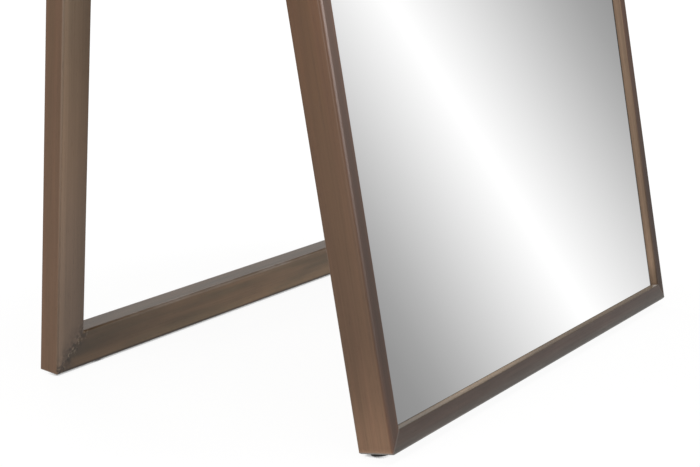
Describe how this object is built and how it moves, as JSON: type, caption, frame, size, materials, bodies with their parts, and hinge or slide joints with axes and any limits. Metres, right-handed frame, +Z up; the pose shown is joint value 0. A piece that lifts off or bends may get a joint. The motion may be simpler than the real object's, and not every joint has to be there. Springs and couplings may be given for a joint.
{
  "type": "dressing mirror",
  "caption": "Floor-standing dressing mirror: a tall leaning mirror in a mitred dark wood frame, propped by a full-width wooden stand frame that folds flat behind it.",
  "frame": {"origin": "on the floor, midway across the mirror and midway between its front edge and the stand's rear edge", "axes": "+X across the mirror to the right seen from its face, +Y from the mirror to the stand, +Z up"},
  "size_m": [0.7, 0.4992, 1.6778],
  "materials": {
    "frame_wood": "walnut stain, satin lacquer",
    "stand_wood": "walnut stain, satin lacquer",
    "silvered_glass": "polished float glass, silvered",
    "hardboard": "smooth hardboard, uncoated",
    "pine_bead": "planed, unfinished",
    "beech": "planed, unfinished",
    "hinge_steel": "zinc plated",
    "glide_plastic": "moulded, matte",
    "bumper_rubber": "moulded, matte"
  },
  "bodies": {
    "mirror": {"left_stile": "frame_wood", "right_stile": "frame_wood", "bottom_rail": "frame_wood", "top_rail": "frame_wood", "frame_corner_keys": "beech", "mirror_glass": "silvered_glass", "back_board": "hardboard", "left_bead": "pine_bead", "right_bead": "pine_bead", "bottom_bead": "pine_bead", "top_bead": "pine_bead", "bead_brads": "hinge_steel", "hinge_rail": "frame_wood", "brace_rail": "frame_wood", "rail_tenons": "beech", "left_hinge_frame_leaf": "hinge_steel", "left_hinge_pin": "hinge_steel", "right_hinge_frame_leaf": "hinge_steel", "right_hinge_pin": "hinge_steel", "frame_leaf_screws": "hinge_steel", "left_bumper": "bumper_rubber", "right_bumper": "bumper_rubber", "left_mirror_glide": "glide_plastic", "right_mirror_glide": "glide_plastic"},
    "stand": {"stand_left_upright": "stand_wood", "stand_right_upright": "stand_wood", "stand_bottom_bar": "stand_wood", "stand_top_bar": "stand_wood", "stand_corner_keys": "beech", "left_hinge_stand_leaf": "hinge_steel", "right_hinge_stand_leaf": "hinge_steel", "stand_leaf_screws": "hinge_steel", "left_stand_glide": "glide_plastic", "right_stand_glide": "glide_plastic"}
  },
  "joints": [
    {"name": "stand_fold", "type": "hinge", "parent": "mirror", "child": "stand", "pos_m": [0, 0.08599, 1.52796], "axis": [-1, 0, 0], "range_deg": [0, 15.95]}
  ]
}
